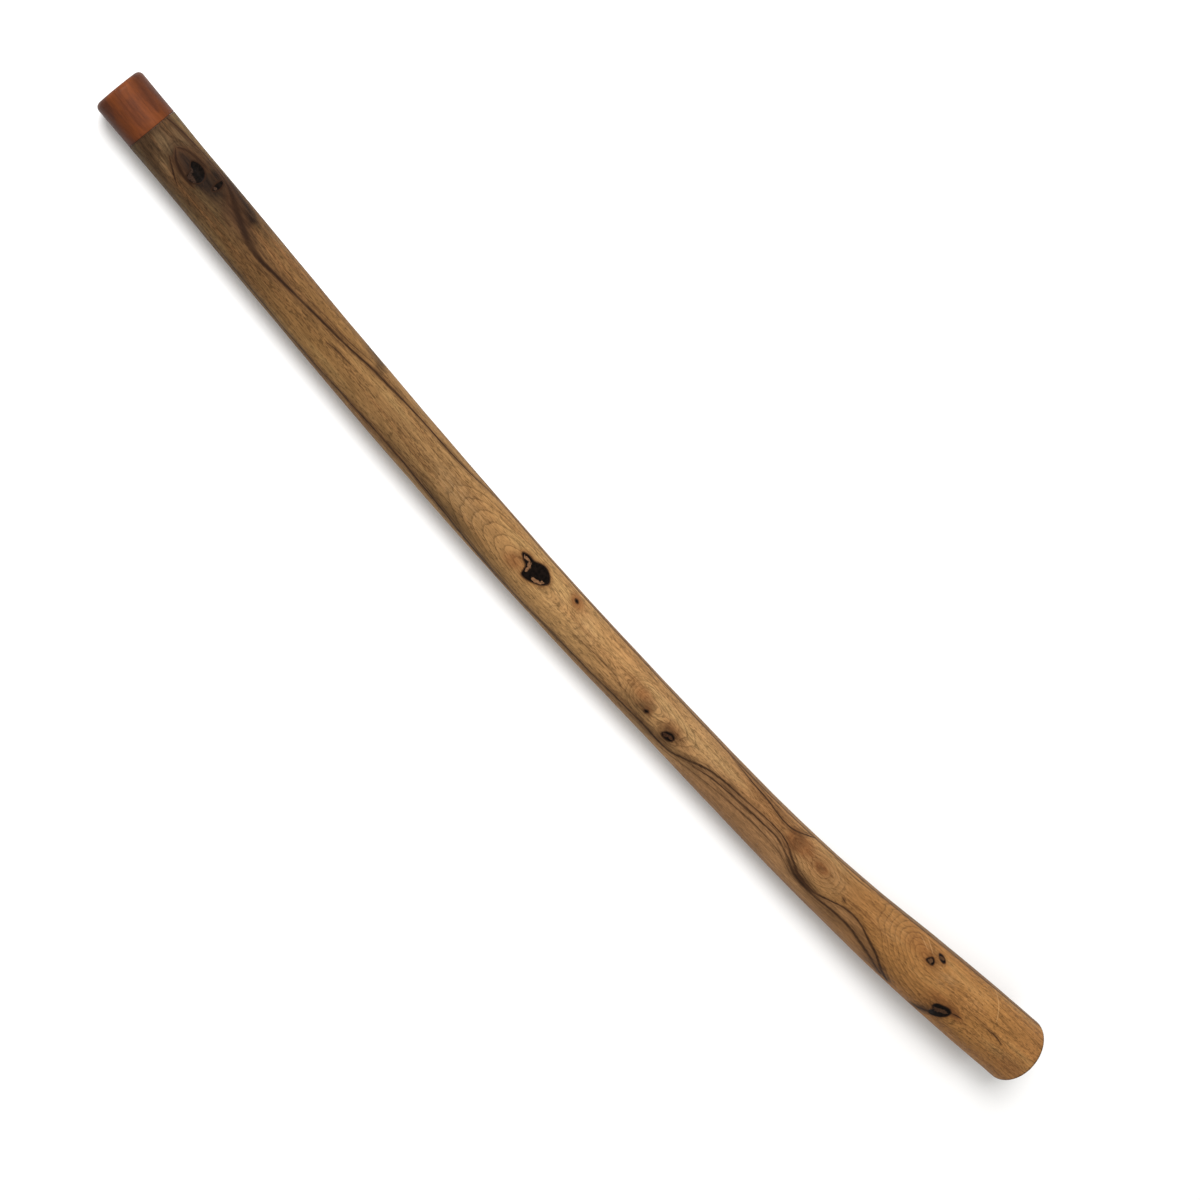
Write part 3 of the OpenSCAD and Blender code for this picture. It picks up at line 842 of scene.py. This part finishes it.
def branch_wood(name, colours, veined):
    """Oiled branch wood: growth rings, fibres, pores, veins and knots."""
    g = Graph(name)
    straight = g.attribute("straight", "Vector")
    place = g.parts(straight)[0]
    depth = g.attribute("depth")
    red, dark, pale = g.parts(g.attribute("tint", "Vector"))

    broad = g.noise(g.stretched(straight, 0.006, 0.05), 2, 0.5)
    bands = g.noise(g.stretched(straight, 0.008, 0.12, 7), 3, 0.55)
    fibre = g.noise(g.stretched(straight, 0.03, 0.42, 3), 4, 0.62)
    fine = g.noise(g.stretched(straight, 0.1, 1.2, 5), 3, 0.6)
    hair = g.noise(g.stretched(straight, 0.3, 4.5, 2), 2, 0.6)
    fleck = g.noise(g.stretched(straight, 0.17, 0.95, 11), 3, 0.6)

    # colour along the tube, partly painted shade towards the mouth end
    colour = g.ramp(g.math("DIVIDE", place, COLOUR_SPAN), colours)
    clear = g.attribute("ring_contrast")
    calm_fibre = g.add(fibre, g.times(g.math("SUBTRACT", 0.5, fibre), g.times(clear, 0.65)))
    tone = g.ease(broad, 0.35, 0.65, 0.67, 0.8)
    tone = g.times(tone, g.ease(calm_fibre, 0.33, 0.67, 0.8, 1.14))
    tone = g.times(tone, g.ease(fine, 0.33, 0.67, 0.84, 1.12))
    tone = g.times(tone, g.ease(hair, 0.3, 0.7, 0.93, 1.06))
    colour = g.shade(colour, tone)
    colour = g.mix(g.ease(bands, 0.5, 0.7, 0.0, 0.35), colour, g.shade(WARM_BAND, tone))
    colour = g.mix(g.ease(broad, 0.5, 0.7, 0.0, 0.3), colour, g.shade(OLIVE_BAND, tone))

    # growth rings: a slow rise and a sharp dark end, wrapped around the swirls
    rings = g.attribute("rings")
    calm = g.ease(rings, 0.05, 1.2, 1.0, 0.07)
    wander = g.times(g.add(bands, -0.5), g.times(calm, 8.0))
    level = g.add(g.add(rings, wander), g.times(depth, 0.42))
    level = g.add(level, g.add(g.times(g.add(broad, -0.5), 2.0), g.times(g.add(fibre, -0.5), 0.15)))
    share = g.math("FRACT", level)
    late = g.ease(share, 0.2, 0.9, 0.0, 0.42)
    line = g.ease(share, 0.78, 0.92, 0.0, 0.58)
    late = g.times(g.add(late, line), g.ease(share, 0.95, 1.0, 1.0, 0.0))
    ring_strength = g.ease(clear, 0.0, 1.0, 0.42, 1.0)
    colour = g.mix(g.times(late, ring_strength), colour, g.shade(colour, 0.58))

    # pores: short dark dashes along the grain, denser in some bands
    density = g.ease(bands, 0.35, 0.65, 0.58, 0.51)
    pore = g.ease(g.math("SUBTRACT", fleck, density), 0.0, 0.04)
    colour = g.mix(g.times(pore, 0.7), colour, g.shade(colour, 0.42))

    if veined:
        heartwood = g.attribute("heartwood")
        colour = g.mix(g.times(heartwood, 0.5), colour, g.shade(HEARTWOOD, tone))
        pale = g.times(pale, g.ease(fibre, 0.35, 0.65, 0.1, 1.0))
        colour = g.mix(g.times(pale, 0.35), colour, g.shade(PALE_WOOD, tone))
        colour = g.mix(g.times(red, 0.65), colour, g.shade(RED_WOOD, tone))
        # dark patches: dark grey-brown wood, and painted shade on the -Y flank
        smoke_and_shade = g.times(dark, g.ease(fibre, 0.36, 0.6, 1.0, 0.82))
        colour = g.mix(smoke_and_shade, colour, g.shade(SMOKE_AND_SHADE, tone))
        jitter = g.add(g.times(g.add(fine, -0.5), 1.6), g.times(g.add(fleck, -0.5), 1.4))
        ragged = g.add(jitter, g.times(g.add(bands, -0.5), 1.6))
        gaps = g.ease(g.noise(g.stretched(straight, 0.035, 0.06, 13), 2, 0.5), 0.38, 0.55, 0.8, 1.0)
        first, second, third = g.parts(g.attribute("veins", "Vector"))
        fourth = g.attribute("faint_vein")
        rows = ((first, 0.97, 0.3), (second, 0.9, 0.9), (third, 0.85, 1.0), (fourth, 0.55, 1.0))
        for distance, strength, roughly in rows:
            beside = g.node("CombineXYZ")
            g.feed(g.times(place, 0.02), beside.inputs[0])
            g.feed(g.times(distance, 0.7), beside.inputs[1])
            streak = g.ease(g.noise(beside.outputs[0], 3, 0.6), 0.48, 0.62)
            off = g.math("ABSOLUTE", g.add(distance, g.times(ragged, roughly)))
            core = g.times(g.ease(off, 0.2, 1.15, strength, 0.0), gaps)
            halo = g.ease(off, 0.6, 4.0, strength * 0.4, 0.0)
            streak = g.times(streak, g.ease(off, 1.5, 6.0, strength * 0.55, 0.0))
            colour = g.mix(halo, colour, g.shade(VEIN_HALO, tone))
            colour = g.mix(streak, colour, g.shade(VEIN_STREAK, tone))
            colour = g.mix(core, colour, VEIN_CORE)
        scratch = g.math("ABSOLUTE", g.attribute("scratch"))
        colour = g.mix(g.ease(scratch, 0.3, 1.4, 0.35, 0.0), colour, SCRATCHED)
        rim = g.attribute("rim")
        rim_halo = g.times(g.ease(rim, 1.0, 6.0, 0.45, 0.0), g.ease(dark, 0.0, 0.6, 1.0, 0.0))
        colour = g.mix(rim_halo, colour, g.shade(KNOT_HALO, tone))
        colour = g.mix(g.ease(g.add(rim, g.times(jitter, 0.6)), 0.3, 1.9, 0.85, 0.0), colour, KNOT_EDGE)

    seam = g.add(g.attribute("seam"), g.times(g.add(fine, -0.5), 1.6))
    colour = g.mix(g.ease(seam, 0.5, 2.0, 0.72, 0.0), colour, SEAM_SHADE)

    # the bell's edge and the wood beside the ring are darker
    edge_darkening = g.times(g.ease(place, tube.end - 4.5, tube.end - 1.0), g.ease(depth, 1.0, 4.0, 0.7, 0.2))
    colour = g.mix(edge_darkening, colour, DARKER_EDGE)
    colour = g.mix(g.ease(place, tube.start + 0.2, tube.start + 2.0, 0.35, 0.0), colour, RING_SHADE)

    # raw wood inside the bore is darker and dusty
    raw = g.ease(depth, 5.0, 8.5)
    colour = g.mix(g.times(raw, 0.6), colour, RAW_WOOD)

    roughness = g.add(g.ease(fine, 0.3, 0.7, 0.44, 0.56), g.times(raw, 0.3))
    height = g.add(g.times(fibre, 0.5), g.times(g.add(fine, hair), 0.3))
    height = g.math("SUBTRACT", height, g.times(pore, 0.6))
    height = g.math("SUBTRACT", height, g.times(late, 0.2))
    normal = g.bump(height, 0.18, 0.7)
    return g.finish(Base_Color=colour, Roughness=roughness, Normal=normal, Specular_IOR_Level=0.03)


RING_JOINT_SHADE = (41.4, 42.4)  # the ring darkens between these places, towards its joint


def ring_wood():
    """The turned ring: fine red-brown hardwood with straight grain."""
    g = Graph("mouthpiece_hardwood")
    straight = g.attribute("straight", "Vector")
    place = g.parts(straight)[0]
    broad = g.noise(g.stretched(straight, 0.035, 0.09), 3, 0.5)
    fibre = g.noise(g.stretched(straight, 0.05, 0.5, 3), 4, 0.6)
    fine = g.noise(g.stretched(straight, 0.2, 1.6, 5), 3, 0.6)
    turning = g.noise(g.stretched(straight, 1.6, 0.02, 8), 2, 0.5)
    tone = g.times(g.ease(fibre, 0.33, 0.67, 0.7, 0.86), g.ease(fine, 0.33, 0.67, 0.92, 1.06))
    # painted shade: the ring is darker towards its sides, which turn away from the light, and a little
    # lighter on top
    painted_side_shade = g.ease(g.math("ABSOLUTE", g.parts(straight)[1]), 8.0, 20.0, 1.08, 0.66)
    tone = g.times(tone, painted_side_shade)
    colour = g.mix(g.ease(broad, 0.38, 0.62), rgb(110, 58, 29), rgb(92, 50, 31))
    colour = g.shade(colour, tone)
    pore = g.ease(fine, 0.57, 0.64)
    colour = g.mix(g.times(pore, 0.4), colour, g.shade(colour, 0.5))
    rings = g.math("FRACT", g.add(g.times(g.parts(straight)[1], 0.16), g.times(broad, 5.0)))
    colour = g.mix(g.ease(rings, 0.5, 0.95, 0.0, 0.2), colour, g.shade(colour, 0.6))
    colour = g.mix(g.ease(place, *RING_JOINT_SHADE, 0.0, 0.6), colour, rgb(48, 26, 16))
    inside = g.attribute("inside")
    colour = g.mix(g.times(inside, 0.5), colour, rgb(80, 46, 30))
    height = g.add(g.times(fibre, 0.4), g.times(turning, 0.25))
    normal = g.bump(g.math("SUBTRACT", height, g.times(pore, 0.5)), 0.08, 0.5)
    roughness = g.ease(fibre, 0.3, 0.7, 0.38, 0.48)
    return g.finish(Base_Color=colour, Roughness=roughness, Normal=normal, Specular_IOR_Level=0.06)


def resin(name, spot_colour):
    """Glossy black resin, with brown spots in a wood colour."""
    g = Graph(name)
    flat = g.attribute("flat", "Vector")
    rim = g.attribute("rim")
    cloud = g.noise(g.stretched(flat, 0.3, 0.3, 4), 4, 0.6)
    crack = g.noise(g.stretched(flat, 0.4, 0.4, 2), 3, 0.5, 1.2)
    dust = g.noise(g.stretched(flat, 2.4, 2.4, 6), 2, 0.5)
    colour = g.mix(g.ease(cloud, 0.35, 0.65), rgb(8, 6, 5), rgb(20, 14, 11))
    shown = g.ease(g.add(g.attribute("brown_spot"), g.times(g.add(cloud, -0.5), 1.8)), 0.4, 0.7)
    shown = g.times(shown, g.ease(g.math("ABSOLUTE", g.add(crack, -0.5)), 0.01, 0.05, 0.35, 1.0))
    shown = g.times(shown, g.ease(rim, 0.1, 0.7))
    colour = g.mix(shown, colour, g.shade(spot_colour, g.ease(dust, 0.3, 0.7, 0.6, 1.2)))
    colour = g.mix(g.ease(rim, 0.0, 0.5, 0.5, 0.0), colour, rgb(60, 36, 22))
    normal = g.bump(cloud, 0.2, 0.4, g.bump(dust, 0.03, 0.3))
    return g.finish(
        Base_Color=colour, Roughness=g.ease(dust, 0.2, 0.8, 0.18, 0.3), Normal=normal,
        Specular_IOR_Level=0.03,
    )


def glue():
    """Dark wood glue with dust in it."""
    g = Graph("glue")
    where = g.node("TexCoord").outputs["Object"]
    grain = g.noise(g.stretched(where, 300.0, 1500.0), 3, 0.6)
    colour = g.mix(g.ease(grain, 0.3, 0.7), rgb(52, 34, 22), rgb(84, 58, 38))
    return g.finish(
        Base_Color=colour, Roughness=g.ease(grain, 0.2, 0.8, 0.45, 0.7), Normal=g.bump(grain, 0.1, 0.4),
        Specular_IOR_Level=0.4,
    )


# ------------------------------------------------------------------- the pieces


def place_piece(thing, node, material, sharpest=40):
    """Gives a finished piece its material and puts it in its CAD node's stead."""
    soften(thing, sharpest)
    thing.data.materials.clear()
    thing.data.materials.append(material)
    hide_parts(node)
    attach(thing, "root")


def make_mouthpiece():
    points = cad_points("mouthpiece_ring")
    place = points[:, 0] - tube.lip
    radius = np.hypot(points[:, 1] - tube.side, points[:, 2] - tube.mouth_radius)
    outer = tube.mouth_radius - SKIN
    ring_end = place[radius > tube.mouth_radius - 0.05].max()
    tenon_end = place.max()
    tenon = radius[place > tenon_end - 0.05].max()
    corner = 0.5  # rounding of the ring's edge at the joint
    hollow = 0.1  # the ring is this much slimmer at its middle
    bore = next(m for m in frame["record"]["mounts"] if m["name"] == "mouth_bore")["dims"]["r_mm"]
    profile = [
        *arc((bore + LIP_INNER, LIP_INNER), LIP_INNER, 180, 270),
        *arc((outer - LIP_OUTER, LIP_OUTER), LIP_OUTER, 270, 360, 14),
        *[(outer - hollow * math.sin(math.pi * t / 10), LIP_OUTER + (ring_end - corner - LIP_OUTER) * t / 10)
          for t in range(1, 10)],
        *arc((outer - corner, ring_end - corner), corner, 0, 90, 4),
        (tenon, ring_end), (tenon, tenon_end), (bore, tenon_end),
        *[(bore, tenon_end + (LIP_INNER - tenon_end) * t / 6) for t in range(1, 6)],
    ]
    ring = lathe("turned_mouthpiece", profile)
    co = np.array([v.co for v in ring.data.vertices]) / MM - (tube.lip, tube.side, tube.mouth_radius)
    store(ring, "straight", "FLOAT_VECTOR", co)
    store(ring, "inside", "FLOAT", np.hypot(co[:, 1], co[:, 2]) < bore + 0.4)
    place_piece(ring, "mouthpiece_ring", ring_wood())

    film = tube.start - ring_end
    lip = outer - corner
    glued = lathe("mouthpiece_joint", [
        (lip, ring_end), (lip, tube.start), (tenon + film, tube.start), (tenon + film, tenon_end + film),
        (bore, tenon_end + film), (bore, tenon_end), (tenon, tenon_end), (tenon, ring_end),
    ])
    place_piece(glued, "mouthpiece_glue", glue())
    return [(0, tube.start - 3), (tenon + film, tube.start - 3), (tenon + film, tenon_end + film),
            (0, tenon_end + film)]


def socket_cutter(profile):
    """A solid cylinder that cuts the tenon's socket."""
    radius, start, end = profile[1][0], profile[1][1], profile[2][1]
    shape = bmesh.new()
    bmesh.ops.create_cone(
        shape, cap_ends=True, segments=160, radius1=radius * MM, radius2=radius * MM,
        depth=(end - start) * MM)
    mesh = bpy.data.meshes.new("cutter")
    shape.to_mesh(mesh)
    shape.free()
    cutter = bpy.data.objects.new("cutter", mesh)
    bpy.context.scene.collection.objects.link(cutter)
    middle = Vector((tube.lip + (start + end) / 2, tube.side, tube.mouth_radius)) * MM
    mesh.transform(Matrix.Translation(middle) @ Matrix.Rotation(math.pi / 2, 4, "Y"))
    return cutter


# Resin of each knot: how far it has sunk, how soon, the colour of its brown spots, and those spots, as centre
# along and across, and reach along and across
FILLS = {
    "heart_inlay": (0.3, 1.6, rgb(122, 88, 62), [
        (-13, 2.5, 5, 1.7), (-7, 0, 2, 3), (-5, -5, 1.8, 3.5), (7, -7, 4, 1.5), (11, -5, 4, 1.5),
        (15, -2, 3, 1.5)]),
    "neck_knot_inlay": (0.1, 1.5, rgb(54, 39, 31), [(-5, -3, 4, 3), (2, -6, 4, 2.4)]),
    "crescent_inlay": (0.15, 1.0, rgb(60, 44, 34), [(0, -4, 2, 2)]),
    "pin_knot_inlay": (0.12, 0.7, rgb(60, 36, 24), []),
    "dot_knot_inlay": (0.12, 0.7, rgb(60, 30, 20), []),
    "eye_knot_inlay": (0.2, 1.2, rgb(66, 43, 29), [(-3, -1, 4, 3), (4, 1, 3, 2.6)]),
    "triangle_knot_inlay": (0.25, 1.2, rgb(88, 62, 42), [(0, -0.5, 4, 3.2)]),
    "oval_knot_inlay": (0.25, 1.2, rgb(78, 54, 36), [(1, 0, 4, 2.2), (-3, 0, 2, 1.6)]),
    "bell_knot_inlay": (0.3, 1.6, rgb(70, 48, 33), [(-3, -1, 6, 3.8), (4, 3, 4.5, 3)]),
}

socket = make_mouthpiece()
knots = [Knot(node) for node in FILLS]
front = half_shell("front_half", -180)
for knot in knots:
    cut_out(front, knot.cutter())
cut_out(front, socket_cutter(socket))
back = half_shell("back_half", 0)
cut_out(back, socket_cutter(socket))
describe_wood(front, knots)
describe_wood(back, [])
place_piece(front, "front_shell", branch_wood("branch_wood_front", FRONT_COLOURS, True))
place_piece(back, "back_shell", branch_wood("branch_wood_back", BACK_COLOURS, False))
seam_glue = glue()
place_piece(seam_strip("left_seam", 0), "left_seam_glue", seam_glue)
place_piece(seam_strip("right_seam", 180), "right_seam_glue", seam_glue)
for knot in knots:
    dip, reach, spot_colour, brown_spots = FILLS[knot.node]
    fill = knot.resin(dip, reach, brown_spots)
    place_piece(fill, knot.node, resin(knot.node + "_resin", spot_colour), 50)


# ------------------------------------------------------ floor, light and camera


def add_floor():
    size = 14.0
    mesh = bpy.data.meshes.new("floor")
    corners = [(-size, -size, 0), (size, -size, 0), (size, size, 0), (-size, size, 0)]
    mesh.from_pydata(corners, [], [(0, 1, 2, 3)])
    floor = bpy.data.objects.new("floor", mesh)
    bpy.context.scene.collection.objects.link(floor)
    g = Graph("floor")
    mesh.materials.append(g.finish(Base_Color=(0.86, 0.86, 0.86, 1), Roughness=0.9, Specular_IOR_Level=0.1))


def add_area_light(name, position, target, width, height, power):
    """A soft box, in metres and watts."""
    light = bpy.data.lights.new(name, "AREA")
    light.shape = "RECTANGLE"
    light.size = width
    light.size_y = height
    light.energy = power
    lamp = bpy.data.objects.new(name, light)
    bpy.context.scene.collection.objects.link(lamp)
    lamp.location = position
    lamp.rotation_euler = (Vector(target) - Vector(position)).to_track_quat("-Z", "Y").to_euler()


def add_camera():
    """High above the lip, looking down along the tube, turned so that the tube crosses the picture."""
    # the camera's direction and height were worked out from the photograph by a scratch script
    forward = Vector((0.3712, 0.0226, -0.9283)).normalized()
    picture_up = Vector((-0.7181, 0.6405, -0.2716))
    right = forward.cross(picture_up).normalized()
    up = right.cross(forward)
    eye = Vector((tube.lip + 43, tube.side + 5, 1523)) * MM
    data = bpy.data.cameras.new("camera")
    data.lens = 48.6
    data.sensor_width = 36
    camera = bpy.data.objects.new("camera", data)
    bpy.context.scene.collection.objects.link(camera)
    turned = Matrix((right, up, -forward)).transposed().to_4x4()
    camera.matrix_world = Matrix.Translation(eye) @ turned
    bpy.context.scene.camera = camera


def add_world(strength):
    world = bpy.data.worlds.new("studio")
    bpy.context.scene.world = world
    world.use_nodes = True
    background = world.node_tree.nodes["Background"]
    background.inputs["Color"].default_value = (1.0, 0.98, 0.95, 1)
    background.inputs["Strength"].default_value = strength


add_floor()
add_area_light("key", (-1.9, 1.1, 2.7), (0.3, 0.0, 0.0), 1.8, 1.8, 155)
add_world(0.65)
add_camera()
bpy.context.scene.view_settings.view_transform = "Standard"
